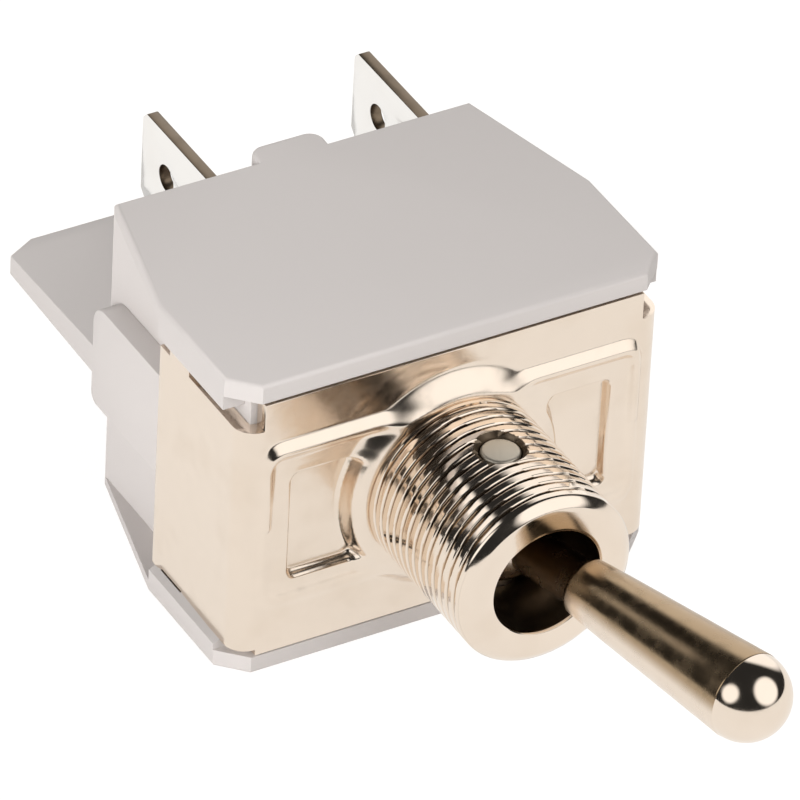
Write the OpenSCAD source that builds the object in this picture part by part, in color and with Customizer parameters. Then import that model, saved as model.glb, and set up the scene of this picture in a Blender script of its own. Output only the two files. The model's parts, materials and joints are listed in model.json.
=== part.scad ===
// Panel toggle switch with two stacked on-off poles.
// Frame: +X across the panel, the way the lever tips; -Y out of the panel, along the bushing;
// +Z up. The origin is on the bushing's axis, in the plane of its shoulder, where the bushing
// leaves the metal frame and where a panel would be clamped.

/* [Bushing] */
// Outside diameter of the bushing's thread
bushing_d = 11.9; // [11:0.1:13]
// Length of the bushing in front of its shoulder
bushing_length = 10.9; // [9:0.1:14]
// Diameter of the bore that the lever swings in
bushing_bore_d = 7.2; // [7.2:0.1:7.6]
// Chamfer at the bushing's mouth
bushing_chamfer = 0.6; // [0.3:0.1:0.9]
// Pitch of the bushing's thread, which is drawn as separate ring grooves
thread_pitch = 0.79; // [0.6:0.01:1]
// Depth of the thread's grooves
thread_depth = 0.3; // [0.2:0.05:0.4]
// Length of the plain ring between the chamfer and the thread
thread_lead = 0.1; // [0:0.1:1]
// Diameter of the spigot that is staked through the frame
spigot_d = 10; // [9.4:0.1:10.4]
// Distance from the shoulder forward to the pivot pin
pivot_reach = 4.66; // [4:0.1:5.5]
// Diameter of the pivot pin
pin_d = 2.5; // [2:0.1:2.8]

/* [Lever] */
// Angle of the lever to each side of the straight position
lever_tilt = 13.8; // [8:0.2:15]
// Distance from the pivot to the centre of the rounded tip
lever_reach = 21.4; // [17:0.1:28]
// Diameter of the rounded tip
lever_tip_d = 5.6; // [5:0.1:6.4]
// Diameter of the handle at its shoulder, next to the bushing
lever_root_d = 3.7; // [3.4:0.1:4.4]
// Distance from the pivot to that shoulder
lever_root_reach = 7.7; // [7.5:0.1:9]
// Diameter of the neck inside the bushing
lever_neck_d = 3; // [2.6:0.1:3.2]
// Diameter of the ball round the pivot pin
lever_ball_d = 6.6; // [5:0.1:6.6]

/* [Metal frame] */
// Thickness of the frame's sheet
sheet_t = 1; // [0.8:0.1:1.1]
// Width of the frame over its two wings
frame_w = 28.9; // [28.5:0.1:32]
// Depth of the wings behind the front plate's face
wing_depth = 10.4; // [8:0.1:11]
// Distance that a wing's edge stays short of the front plate's edge
wing_drop = 1.5; // [0.9:0.1:1.8]
// Outside radius of the bend between front plate and wing
bend_r = 1.4; // [1.2:0.1:1.6]
// Height of the pressed boss round the bushing
boss_height = 1; // [0.6:0.1:1.2]
// Diameter of the boss at its flat top
boss_top_d = 14.4; // [13.4:0.1:14.8]
// Diameter of the boss at its foot
boss_foot_d = 16.2; // [15.6:0.1:17]
// Distance of each pressed rib from the bushing's axis
rib_offset = 5.8; // [5:0.1:6.2]
// Width of a rib
rib_w = 1.5; // [1.2:0.1:1.8]
// Height of a rib
rib_height = 0.65; // [0.3:0.05:0.7]
// Length from the end of one rib to the end of the other
rib_span = 26; // [24:0.5:27]
// Depth of the two sunk pads
pad_depth = 0.6; // [0.3:0.1:0.7]
// Half height of a sunk pad
pad_half_h = 3.6; // [3:0.1:4]
// Distance from the bushing's axis to a pad's outer edge
pad_reach = 11; // [10:0.1:12]
// Radius of a pad's inner edge round the bushing
pad_inner_r = 7.6; // [7.4:0.1:8.2]

/* [Case] */
// Width of the two cover plates
cover_w = 29.8; // [29.2:0.1:32]
// Height of the switch over the two cover plates
case_h = 21.6; // [21:0.1:24]
// Depth of the case behind the front plate's face
case_depth = 20.4; // [19.5:0.1:24]
// Width of the case at its back
rear_w = 24.7; // [24.4:0.1:26]
// Depth at which the cover plates start to narrow
taper_start = 10; // [9:0.1:13]
// Thickness of a cover plate
cover_t = 0.9; // [0.8:0.1:1.2]
// Thickness of a cover plate's front lip, which the frame's front plate meets
lip_t = 1.3; // [1.1:0.1:1.6]
// Chamfer at the front corners of a cover plate
corner_cut = 1.7; // [1:0.1:2.4]
// Thickness of the case's side walls
wall = 1; // [0.8:0.1:1.1]
// Thickness of the case's front wall
front_wall = 1.5; // [1.4:0.1:1.8]
// Thickness of the terminal block at the back of the case
block_t = 4; // [3.4:0.1:4.4]
// Width of the ridge down the middle of the back
ridge_w = 4.9; // [4:0.1:6]
// Depth of that ridge
ridge_t = 1.5; // [1:0.1:2]
// Clearance between pieces that are fitted together
fit_gap = 0.03; // [0.02:0.01:0.06]

/* [Separator] */
// Thickness of the separator between the two poles
separator_t = 2; // [1.6:0.1:2.4]
// Width of the barrier behind the case
barrier_w = 27.8; // [27:0.1:29]
// Distance that the barrier reaches behind the case
barrier_reach = 11.25; // [8:0.25:14]
// Thickness of the barrier at its back edge
barrier_edge_t = 1.35; // [1:0.05:1.6]
// Height of a side lug above the middle
lug_up = 4.3; // [3:0.1:5]
// Depth of a side lug below the middle
lug_down = 3.1; // [2.5:0.1:5]
// Radius of a lug's upper back corner
lug_round = 1.4; // [0.8:0.1:1.8]

/* [Terminals] */
// Width of a terminal's blade
blade_w = 6.3; // [4.8:0.1:6.4]
// Thickness of the terminals' sheet
blade_t = 0.8; // [0.6:0.1:0.9]
// Distance that a blade reaches behind the case
blade_reach = 10.5; // [8:0.1:11]
// Diameter of the hole in a blade
blade_hole_d = 1.8; // [1.4:0.1:2.2]
// Distance from a blade's tip to its hole
blade_hole_inset = 3.2; // [2:0.1:3.6]
// Place of the common terminal's blade across the case
common_x = -4.3; // [-5.5:0.1:-4]
// Place of the switched terminal's blade across the case
switched_x = 10.6; // [9.6:0.1:10.7]
// Place of each pole's middle between the separator (0) and the chamber's roof (1)
pole_place = 0.53; // [0.5:0.01:0.56]

/* [Mechanism] */
// Distance from the shoulder back to the rockers' trunnions
trunnion_depth = 14; // [13.6:0.1:14.2]
// Angle of a rocker to each side
rocker_tilt = 9; // [6:0.5:10]
// Thickness of a rocker
rocker_t = 0.8; // [0.6:0.1:0.8]
// Width of a rocker
rocker_w = 3.6; // [3:0.1:3.8]
// Diameter of a rocker's trunnions
trunnion_d = 1.3; // [1:0.1:1.4]
// Place of the contacts across the case
contact_x = 7.2; // [6.6:0.1:7.4]
// Diameter of a contact button
contact_d = 3; // [2.4:0.1:3.2]
// Thickness of a contact button
contact_t = 0.8; // [0.5:0.1:0.9]
// Diameter of a plunger
plunger_d = 2.4; // [2:0.1:2.6]
// Clearance between a rocker and its plunger
plunger_gap = 0.12; // [0.08:0.01:0.2]
// Free travel of a plunger in its barrel
plunger_travel = 0.8; // [0.5:0.1:1]
// Thickness of the actuator's wall round a plunger
barrel_wall = 0.8; // [0.6:0.1:0.9]
// Diameter of the spring's wire
spring_wire_d = 0.32; // [0.25:0.01:0.4]
// Turns of a plunger's spring
spring_turns = 4.5; // [3:0.5:5]
// Radial clearance of pins and plungers that move
running_gap = 0.05; // [0.02:0.01:0.08]

// Distance from the pivot back to the actuator on the lever's tail
actuator_start = 8.6; // [8.4:0.1:8.8]
// Length of the actuator's hub on the lever's tail
hub_l = 4; // [3.4:0.1:4.2]
// Width of the actuator's beam between its two barrels
beam_w = 4.4; // [3.6:0.1:4.6]
// Length of the actuator's barrels
barrel_l = 6.4; // [5.6:0.1:6.6]
// Thickness of a barrel's closed end
barrel_floor = 0.9; // [0.6:0.1:1.2]
// Length of a plunger's spring
spring_l = 2.7; // [2.4:0.1:2.8]
// Distance from a plunger's centre to the trunnions with the lever straight
seat = 1.76; // [1.72:0.01:1.9]
// Diameter of a contact's shank
shank_d = 1.4; // [1.2:0.1:1.6]
// Diameter of a contact's riveted end
rivet_d = 2.1; // [1.8:0.1:2.4]
// Height of a contact's riveted end
rivet_h = 0.45; // [0.3:0.05:0.5]

/* [Joining] */
// Diameter of the pegs that join the case halves
peg_d = 1.8; // [1.4:0.1:2]
// Distance that the pegs reach into the lower half
peg_l = 2; // [1.6:0.1:2.4]
// Place across the case of the peg in the middle of the terminal block
peg_x = 1.5; // [1.2:0.1:3]
// Height of the crevice between a wing and the cover's skirt
skirt_gap = 0.5; // [0.3:0.05:0.6]
// Length of the hook on a wing's upper edge
hook_l = 2.4; // [1.6:0.1:3]
// Height of that hook inside the cover's skirt
hook_h = 0.7; // [0.5:0.05:0.8]

/* [Hidden] */
$fn = 64;

// A hair that a cutting tool reaches past the face that it cuts
eps = 0.05;

// Depths along the switch, from the shoulder backwards
plate_y = boss_height;
sheet_back = plate_y + sheet_t;
wing_end = plate_y + wing_depth;
case_front = sheet_back + fit_gap;
case_back = plate_y + case_depth;
block_front = case_back - block_t;
taper_y = plate_y + taper_start;
ridge_back = case_back + ridge_t;
barrier_back = case_back + barrier_reach;
blade_back = case_back + blade_reach;

// Half heights and half widths
cover_top = case_h / 2;
cover_under = cover_top - cover_t;
plate_top = cover_top - lip_t;
frame_h = 2 * plate_top;
wing_top = plate_top - wing_drop;
skirt_under = wing_top + skirt_gap;
lip_under = plate_top + fit_gap;
chamber_top = plate_top;
separator_top = separator_t / 2;
pole_z = separator_top + pole_place * (plate_top - separator_top);
half_under = separator_top + fit_gap;
wing_inside = frame_w / 2 - sheet_t;
front_half_w = wing_inside - fit_gap;
rear_half_w = rear_w / 2;
barrier_half_w = barrier_w / 2;
hook_y = wing_end - hook_l;
notch_x = frame_w / 2 - bend_r - 0.05;

// The lever and what it carries, along the lever's own axis from the pivot
pivot_y = -pivot_reach;
hub_end = actuator_start + hub_l;
tail_end = hub_end - 0.25 * hub_l;
plunger_bore_start = actuator_start + barrel_floor;
plunger_seat = plunger_bore_start + spring_l;
actuator_end = actuator_start + barrel_l;
cover_edge_x = cover_w / 2;

// The rocker's saddle: the plunger's rounded end runs along it as the lever swings.
plunger_r = plunger_d / 2;
tip_reach = trunnion_depth + pivot_reach - seat;
function turned(p, a) = [p.x * cos(a) - p.y * sin(a), p.x * sin(a) + p.y * cos(a)];
tip_at_rest = [-tip_reach * sin(lever_tilt), tip_reach * cos(lever_tilt) - pivot_reach - trunnion_depth];
tip_on_rocker = turned(tip_at_rest, rocker_tilt);
path_drop = -tip_on_rocker.y - seat;
path_r = (pow(tip_on_rocker.x, 2) + pow(path_drop, 2)) / (2 * path_drop);
saddle_r = path_r + plunger_r + plunger_gap;
saddle_half_w = abs(tip_on_rocker.x) + 0.6;
saddle_y = -seat - path_r;

// Contacts close when the rocker has turned by rocker_tilt
foot_front = block_front - blade_t;
closing_gap = 0.05;
fixed_face_y = foot_front - contact_t;
arm_back = [contact_x, fixed_face_y - closing_gap - contact_t - trunnion_depth];
arm_end = turned(arm_back, -rocker_tilt);
arm_half_l = contact_d / 2 + 0.2;
stop_y = trunnion_depth + arm_back.y + 0.1;
stop_half_w = 0.85 * contact_d / 2;

// Places of the pegs that join the two case halves
peg_y = case_front + front_wall + 0.6 * peg_d;
pegs = [[-rear_half_w + wall + 0.8 * peg_d, peg_y], [rear_half_w - wall - 0.8 * peg_d, peg_y],
    [peg_x, case_back - block_t / 2], [-1.2 * contact_x, case_back - block_t / 2]];
peg_block = 1.8 * peg_d;

// Opening through which the actuator reaches both poles
actuator_half_w = beam_w / 2;
window_x = (hub_end + 0.6) * sin(lever_tilt) + actuator_half_w + 0.6;
window_back = pivot_y + hub_end + 0.9;

// ---------------------------------------------------------------- shared shapes

// A box given by its two opposite corners
module block(low, high) {
    translate(low) cube(high - low);
}

// A rod along Y from y0 to y1
module rod_y(d, y0, y1) {
    translate([0, y0, 0]) rotate([-90, 0, 0]) cylinder(d = d, h = y1 - y0);
}

// A rod along Z, centred on the XY plane
module rod_z(d, h) {
    cylinder(d = d, h = h, center = true);
}

// Swings a piece with the lever, from the straight position to the rest position
module at_lever_rest() {
    translate([0, pivot_y, 0]) rotate([0, 0, lever_tilt]) children();
}

// Puts a rocker's own pieces in the rest position
module at_rocker_rest(side) {
    translate([0, trunnion_depth, side * pole_z]) rotate([0, 0, -rocker_tilt]) children();
}

// Both halves of a shape that is the same on the left and on the right
module both_sides() {
    children();
    mirror([1, 0, 0]) children();
}

// ---------------------------------------------------------------- metal frame

// The frame seen from above: a channel with rounded bends
module frame_plan() {
    half = frame_w / 2;
    difference() {
        union() {
            translate([-half + bend_r, plate_y]) square([frame_w - 2 * bend_r, bend_r]);
            translate([-half, plate_y + bend_r]) square([frame_w, wing_depth - bend_r]);
            for (s = [-1, 1]) translate([s * (half - bend_r), plate_y + bend_r]) circle(r = bend_r);
        }
        translate([-wing_inside, sheet_back]) square([2 * wing_inside, wing_depth]);
    }
}

// One rib as a round bead with round ends, half sunk in the front plate
module rib_bead(side, d, y) {
    reach = (rib_span - rib_w) / 2;
    translate([0, y, side * rib_offset]) {
        rotate([0, 90, 0]) cylinder(d = d, h = 2 * reach, center = true);
        for (s = [-1, 1]) translate([s * reach, 0, 0]) sphere(d = d);
    }
}

// One hook on a wing's upper edge, held by the upper half of the case; extra is its pocket's room
module hook(extra) {
    block([wing_inside - extra, hook_y - hook_l / 2 - extra, wing_top - eps],
        [frame_w / 2 + extra, hook_y + hook_l / 2 + extra, skirt_under + hook_h + extra]);
}

// The boss as a cone with a flat top; grow and shift give the hollow behind it
module boss_cone(grow, shift) {
    translate([0, shift, 0]) rotate([-90, 0, 0])
        cylinder(d1 = boss_top_d + grow, d2 = boss_foot_d + grow, h = boss_height);
}

// One sunk pad's outline, an upright slot whose inner edge is an arc round the bushing
module pad_prism(grow, y0, y1) {
    difference() {
        block([0, y0, -pad_half_h - grow], [pad_reach + grow, y1, pad_half_h + grow]);
        rod_y(2 * (pad_inner_r - grow), y0 - eps, y1 + eps);
    }
}

// The back of one sunk pad, that stands out behind the front plate
module pad_back(extra) {
    pad_prism(0.15 + extra, sheet_back - eps - extra, sheet_back + pad_depth + extra);
}

module mounting_frame() {
    color([0.86, 0.80, 0.72])
    difference() {
        union() {
            difference() {
                translate([0, 0, -plate_top]) linear_extrude(frame_h) frame_plan();
                for (side = [-1, 1]) both_sides() {
                    // wing edges stay short of the front plate's edges
                    block([notch_x, plate_y - eps, side > 0 ? wing_top : -plate_top - eps],
                        [frame_w, wing_end + eps, side > 0 ? plate_top + eps : -wing_top]);
                    // relief at the bend
                    translate([frame_w / 2 - bend_r / 2, 0, side * wing_top])
                        rod_y(bend_r, plate_y - eps, sheet_back + bend_r);
                }
            }
            boss_cone(0, 0);
            for (side = [-1, 1]) rib_bead(side, rib_w, plate_y - rib_height + rib_w / 2);
            both_sides() hook(0);
            // backs of the sunk pads
            both_sides() pad_back(0);
        }
        // hollows behind the boss and the ribs
        boss_cone(-1.6, sheet_t);
        for (side = [-1, 1]) rib_bead(side, rib_w / 2, sheet_back);
        // sunk pads
        both_sides() pad_prism(0, plate_y - 2 * eps - rib_height, plate_y + pad_depth);
        // hole for the bushing's spigot
        rod_y(spigot_d + 2 * fit_gap, -eps, sheet_back + sheet_t);
    }
}

// ---------------------------------------------------------------- bushing and lever

module bushing() {
    r = bushing_d / 2;
    bore = bushing_bore_d / 2;
    flare = 0.5;
    stake_back = sheet_back + 0.5;
    groove_w = 0.72 * thread_pitch;
    thread_start = bushing_length - bushing_chamfer - thread_lead;
    thread = [for (i = [0 : floor(thread_start / thread_pitch) - 1])
        let (y = (i + 0.5) * thread_pitch - thread_start)
        each [[r, y - groove_w / 2], [r - thread_depth, y], [r, y + groove_w / 2]]];
    color([0.84, 0.78, 0.70])
    difference() {
        rotate([-90, 0, 0]) rotate_extrude() polygon([
            [bore, -bushing_length],
            [r - bushing_chamfer, -bushing_length],
            [r, -bushing_length + bushing_chamfer],
            each thread,
            [r, 0],
            [spigot_d / 2, 0],
            [spigot_d / 2, sheet_back - boss_height + fit_gap],
            [spigot_d / 2 + flare, sheet_back - boss_height + fit_gap],
            [spigot_d / 2 + flare, stake_back - boss_height - fit_gap],
            [bore, stake_back - boss_height - fit_gap]]);
        translate([0, pivot_y, 0]) rod_z(pin_d, bushing_d + 2);
    }
}

module pivot_pin() {
    color([0.80, 0.74, 0.62])
    translate([0, pivot_y, 0]) rod_z(pin_d, bushing_d - 0.3);
}

module lever() {
    tip_r = lever_tip_d / 2;
    root_r = lever_root_d / 2;
    neck_r = lever_neck_d / 2;
    ease = 0.35;
    color([0.80, 0.74, 0.64])
    at_lever_rest() difference() {
        union() {
            rotate([90, 0, 0]) rotate_extrude() polygon([
                [0, -tail_end], [neck_r, -tail_end], [neck_r, lever_root_reach - ease],
                [root_r - ease, lever_root_reach - ease], [root_r, lever_root_reach],
                [tip_r, lever_reach], [0, lever_reach]]);
            translate([0, -lever_reach, 0]) sphere(d = lever_tip_d);
            sphere(d = lever_ball_d);
        }
        rod_z(pin_d + 2 * running_gap, bushing_d);
    }
}

module actuator() {
    outer = plunger_d + 2 * (running_gap + barrel_wall);
    color([0.16, 0.16, 0.17])
    at_lever_rest() difference() {
        union() {
            rod_y(1.2 * beam_w, actuator_start, hub_end);
            block([-actuator_half_w, actuator_start, -pole_z], [actuator_half_w, tail_end, pole_z]);
            for (s = [-1, 1]) translate([0, 0, s * pole_z]) rod_y(outer, actuator_start, actuator_end);
        }
        rod_y(lever_neck_d + 2 * fit_gap, actuator_start - eps, tail_end + fit_gap);
        for (s = [-1, 1]) translate([0, 0, s * pole_z])
            rod_y(plunger_d + 2 * running_gap, plunger_bore_start, actuator_end + eps);
    }
}

// A plunger: a pin with a rounded nose that the spring pushes on to the rocker
module plunger(side) {
    color([0.90, 0.88, 0.80])
    at_lever_rest() translate([0, 0, side * pole_z]) union() {
        rod_y(plunger_d, plunger_seat, tip_reach);
        translate([0, tip_reach, 0]) sphere(d = plunger_d);
    }
}
// A plunger's spring: a helix swept as one closed tube between the bore's floor and the plunger
module spring(side) {
    coil_r = plunger_r - spring_wire_d / 2 - 0.02;
    wire_r = spring_wire_d / 2;
    start = plunger_bore_start + wire_r + 0.03;
    rise = plunger_seat - plunger_bore_start - 2 * wire_r - 0.06;
    steps = round(spring_turns * 12);
    sides = 6;
    points = [for (i = [0 : steps], k = [0 : sides - 1])
        let (a = 360 * spring_turns * i / steps, b = 360 * k / sides, r = coil_r + wire_r * cos(b))
        [r * cos(a), start + rise * i / steps + wire_r * sin(b), r * sin(a)]];
    faces = concat(
        [[for (k = [0 : sides - 1]) k]],
        [[for (k = [sides - 1 : -1 : 0]) steps * sides + k]],
        [for (i = [0 : steps - 1], k = [0 : sides - 1])
            let (n = (k + 1) % sides, a = i * sides, b = a + sides)
            [a + k, b + k, b + n, a + n]]);
    color([0.72, 0.72, 0.70])
    at_lever_rest() translate([0, 0, side * pole_z]) polyhedron(points, faces);
}

// ---------------------------------------------------------------- case

// Outline of a cover plate seen from above
module cover_plan() {
    front = plate_y + 0.05;
    polygon([
        [-cover_edge_x + corner_cut, front], [cover_edge_x - corner_cut, front],
        [cover_edge_x, front + corner_cut], [cover_edge_x, taper_y],
        [rear_half_w, case_back], [-rear_half_w, case_back],
        [-cover_edge_x, taper_y], [-cover_edge_x, front + corner_cut]]);
    ridge_plan();
}

// Outline of the ridge down the middle of the back
module ridge_plan() {
    shoulder = 1;
    half = ridge_w / 2;
    translate([-half, case_back - eps]) square([ridge_w, ridge_t - shoulder + eps]);
    translate([-half + shoulder, case_back - eps]) square([ridge_w - 2 * shoulder, ridge_t + eps]);
    for (s = [-1, 1]) translate([s * (half - shoulder), ridge_back - shoulder]) circle(r = shoulder);
}

// Outline of the case's walls seen from above, wide inside the frame and narrow behind it
module core_plan() {
    translate([-front_half_w, case_front]) square([2 * front_half_w, wing_end - case_front]);
    translate([-rear_half_w, wing_end - eps]) square([2 * rear_half_w, case_back - wing_end + eps]);
}

// Slot for a terminal's blade through the terminal block
module blade_slot(x) {
    block([x - blade_t / 2 - fit_gap, block_front - eps, pole_z - blade_w / 2 - fit_gap],
        [x + blade_t / 2 + fit_gap, case_back + eps, pole_z + blade_w / 2 + fit_gap]);
}

// The upper half of the case without its pegs; the lower half is its mirror image
module case_half() {
    difference() {
        union() {
            // cover plate with its thicker front and side skirts
            translate([0, 0, cover_under]) linear_extrude(cover_t) cover_plan();
            intersection() {
                translate([0, 0, skirt_under]) linear_extrude(cover_top - skirt_under) cover_plan();
                union() {
                    block([-cover_w, 0, lip_under], [cover_w, taper_y, cover_top]);
                    both_sides() block([wing_inside - 0.3, plate_y + corner_cut + 0.1, skirt_under],
                        [cover_w, taper_y, cover_top]);
                }
            }
            translate([0, 0, half_under]) linear_extrude(cover_top - half_under - cover_t / 2) {
                core_plan();
                ridge_plan();
            }
        }
        // pole chamber
        difference() {
            block([-rear_half_w + wall, case_front + front_wall, half_under - eps],
                [rear_half_w - wall, block_front, chamber_top]);
            for (i = [0, 1]) translate([pegs[i].x, pegs[i].y, 0])
                block([-peg_block / 2, -peg_block / 2, 0], [peg_block / 2, peg_block / 2, case_h]);
            // stop for the arm that has no contact
            block([-contact_x - stop_half_w, stop_y, 0], [-contact_x + stop_half_w, case_back, case_h]);
        }
        // window behind the front plate for the bushing's end and the actuator
        block([-window_x, case_front - eps, half_under - eps],
            [window_x, case_front + front_wall + eps, chamber_top]);
        // recesses for the backs of the frame's sunk pads
        both_sides() pad_back(0.1);
        // pockets for the frame's hooks
        both_sides() hook(2 * fit_gap);
        blade_slot(common_x);
        blade_slot(switched_x);
        // pocket for the fixed contact's riveted end
        translate([contact_x, 0, pole_z]) rod_y(rivet_d + 0.3, block_front - eps, block_front + rivet_h + 0.15);
    }
}

// The pegs, or with more clearance the holes for them
module peg_set(extra, z0, z1) {
    for (p = pegs) translate([p.x, p.y, z0]) cylinder(d = peg_d + 2 * extra, h = z1 - z0);
}

module case_upper() {
    color([0.80, 0.78, 0.77]) {
        case_half();
        peg_set(0, -half_under - peg_l, half_under + eps);
    }
}

module case_lower() {
    color([0.80, 0.78, 0.77])
    difference() {
        mirror([0, 0, 1]) case_half();
        peg_set(fit_gap, -half_under - peg_l - 0.2, 0);
    }
}

// ---------------------------------------------------------------- separator

// Outline of the separator seen from above, with the actuator's window open to the front
module separator_plan() {
    cut = separator_t;
    difference() {
        union() {
            translate([-front_half_w, case_front]) square([2 * front_half_w, wing_end - case_front]);
            polygon([[-barrier_half_w, wing_end + fit_gap], [barrier_half_w, wing_end + fit_gap],
                [barrier_half_w, barrier_back - 0.55 * cut], [barrier_half_w - cut, barrier_back],
                [-barrier_half_w + cut, barrier_back], [-barrier_half_w, barrier_back - 0.55 * cut]]);
            translate([-front_half_w, wing_end - eps]) square([2 * front_half_w, 1]);
        }
        translate([-window_x, 0]) square([2 * window_x, window_back]);
    }
}

// Section of the separator along the switch: even inside the case, thinner behind it
module separator_side() {
    polygon([[0, -separator_top], [case_back, -separator_top], [barrier_back, -barrier_edge_t / 2],
        [barrier_back, barrier_edge_t / 2], [case_back, separator_top], [0, separator_top]]);
}

// Section of a side lug, with rounded back corners
module lug_side() {
    front = wing_end + fit_gap;
    back = case_back - 0.6;
    low_r = lug_round / 2;
    polygon([[front, -lug_down], [back - low_r, -lug_down], [back - low_r, 0], [back - lug_round, 0],
        [back - lug_round, lug_up], [front, lug_up]]);
    translate([back - lug_round - eps, -lug_down + low_r])
        square([lug_round + eps, lug_up + lug_down - low_r - lug_round]);
    translate([back - lug_round, lug_up - lug_round]) circle(r = lug_round);
    translate([back - low_r, -lug_down + low_r]) circle(r = low_r);
}

module separator() {
    color([0.79, 0.77, 0.76])
    difference() {
        union() {
            intersection() {
                translate([0, 0, -separator_t]) linear_extrude(2 * separator_t) separator_plan();
                translate([-barrier_w, 0, 0]) rotate([90, 0, 90]) linear_extrude(2 * barrier_w)
                    separator_side();
            }
            both_sides() translate([rear_half_w + fit_gap, 0, 0]) rotate([90, 0, 90])
                linear_extrude(barrier_half_w - rear_half_w - fit_gap) lug_side();
        }
        peg_set(fit_gap, -separator_t, separator_t);
        both_sides() pad_back(0.1);
    }
}

// ---------------------------------------------------------------- terminals and contacts

// A blade through the terminal block, with a chamfered tip and a hole
module blade(x) {
    tip = 0.5;
    half = blade_w / 2;
    translate([x - blade_t / 2, 0, 0]) rotate([90, 0, 90]) linear_extrude(blade_t) difference() {
        polygon([[foot_front, -half], [blade_back - tip, -half], [blade_back, -half + tip],
            [blade_back, half - tip], [blade_back - tip, half], [foot_front, half]]);
        translate([blade_back - blade_hole_inset, 0]) circle(d = blade_hole_d);
    }
}

// The common terminal: blade, foot on the terminal block, and two cheeks that hold the rocker
module common_terminal() {
    cheek = rocker_w / 2 + 0.15;
    reach = blade_w / 4;
    half = blade_w / 2;
    color([0.85, 0.83, 0.78]) {
        blade(common_x);
        difference() {
            union() {
                block([common_x - blade_t / 2, foot_front, -half], [reach, block_front, half]);
                for (s = [0, 1]) mirror([0, 0, s]) block([-reach, trunnion_depth - 0.9, cheek],
                    [reach, foot_front + eps, cheek + blade_t]);
            }
            translate([0, trunnion_depth, 0]) rod_z(trunnion_d + 2 * running_gap, 2 * blade_w);
            block([-trunnion_d / 2 - running_gap, 0, -blade_w],
                [trunnion_d / 2 + running_gap, trunnion_depth, blade_w]);
        }
    }
}

// The switched terminal: blade and a foot that carries the fixed contact
module switched_terminal() {
    half = blade_w / 2;
    color([0.85, 0.83, 0.78])
    difference() {
        union() {
            blade(switched_x);
            block([contact_x - contact_d / 2 - 0.2, foot_front, -half],
                [switched_x + blade_t / 2, block_front, half]);
        }
        rod_through(contact_x);
    }
}

// Hole for a contact's shank through a terminal's foot
module rod_through(x) {
    translate([x, 0, 0]) rod_y(shank_d + 2 * fit_gap, foot_front - eps, block_front + eps);
}

module fixed_contact(side) {
    color([0.88, 0.88, 0.86])
    translate([contact_x, 0, side * pole_z]) {
        rod_y(contact_d, fixed_face_y, foot_front - fit_gap);
        rod_y(shank_d, foot_front - fit_gap - eps, block_front + fit_gap + eps);
        rod_y(rivet_d, block_front + fit_gap, block_front + rivet_h);
    }
}

// ---------------------------------------------------------------- rockers

// Section of a rocker: a saddle under the plunger, and an arm at each end of it
module rocker_plan() {
    outer = saddle_r + rocker_t;
    end = asin(saddle_half_w / saddle_r);
    reach = 2 * outer;
    // saddle
    intersection() {
        translate([0, saddle_y]) difference() {
            circle(r = outer);
            circle(r = saddle_r);
        }
        translate([0, saddle_y])
            polygon([[0, 0], [reach * sin(end), reach * cos(end)], [-reach * sin(end), reach * cos(end)]]);
    }
    // arms, level with the fixed contact when the rocker has closed it
    inner_end = [saddle_r * sin(end - 1), saddle_y + saddle_r * cos(end - 1)];
    outer_end = [outer * sin(end - 1), saddle_y + outer * cos(end - 1)];
    for (s = [0, 1]) mirror([s, 0]) polygon([
        inner_end,
        turned([contact_x - arm_half_l, arm_back.y - rocker_t], -rocker_tilt),
        turned([contact_x + arm_half_l, arm_back.y - rocker_t], -rocker_tilt),
        turned([contact_x + arm_half_l, arm_back.y], -rocker_tilt),
        turned([contact_x - arm_half_l, arm_back.y], -rocker_tilt),
        outer_end]);
}

module rocker(side) {
    color([0.80, 0.52, 0.30])
    at_rocker_rest(side) difference() {
        union() {
            translate([0, 0, -rocker_w / 2]) linear_extrude(rocker_w) rocker_plan();
            for (s = [0, 1]) mirror([0, 0, s]) translate([0, 0, plunger_r + 0.1])
                cylinder(d = trunnion_d, h = rocker_w / 2 + blade_t + 0.2 - plunger_r);
        }
        // hole for the moving contact's shank
        translate([arm_end.x, arm_end.y, 0]) rotate([0, 0, -rocker_tilt])
            rod_y(shank_d + 2 * fit_gap, -rocker_t - eps, eps);
    }
}

module moving_contact(side) {
    color([0.88, 0.88, 0.86])
    at_rocker_rest(side) translate([arm_end.x, arm_end.y, 0]) rotate([0, 0, -rocker_tilt]) {
        rod_y(contact_d, fit_gap, contact_t);
        rod_y(shank_d, -rocker_t - fit_gap - eps, fit_gap + eps);
        rod_y(rivet_d, -rocker_t - rivet_h, -rocker_t - fit_gap);
    }
}

// ---------------------------------------------------------------- nodes

mounting_frame();
bushing();
pivot_pin();
lever();
actuator();
case_upper();
case_lower();
separator();
upper_common_terminal();
upper_switched_terminal();
lower_common_terminal();
lower_switched_terminal();
upper_rocker();
lower_rocker();
upper_moving_contact();
lower_moving_contact();
upper_fixed_contact();
lower_fixed_contact();
upper_plunger();
lower_plunger();
upper_spring();
lower_spring();

// One module for each node of a pole
module upper_common_terminal() { translate([0, 0, pole_z]) common_terminal(); }
module lower_common_terminal() { translate([0, 0, -pole_z]) common_terminal(); }
module upper_switched_terminal() { translate([0, 0, pole_z]) switched_terminal(); }
module lower_switched_terminal() { translate([0, 0, -pole_z]) switched_terminal(); }
module upper_rocker() { rocker(1); }
module lower_rocker() { rocker(-1); }
module upper_moving_contact() { moving_contact(1); }
module lower_moving_contact() { moving_contact(-1); }
module upper_fixed_contact() { fixed_contact(1); }
module lower_fixed_contact() { fixed_contact(-1); }
module upper_plunger() { plunger(1); }
module lower_plunger() { plunger(-1); }
module upper_spring() { spring(1); }
module lower_spring() { spring(-1); }
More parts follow.
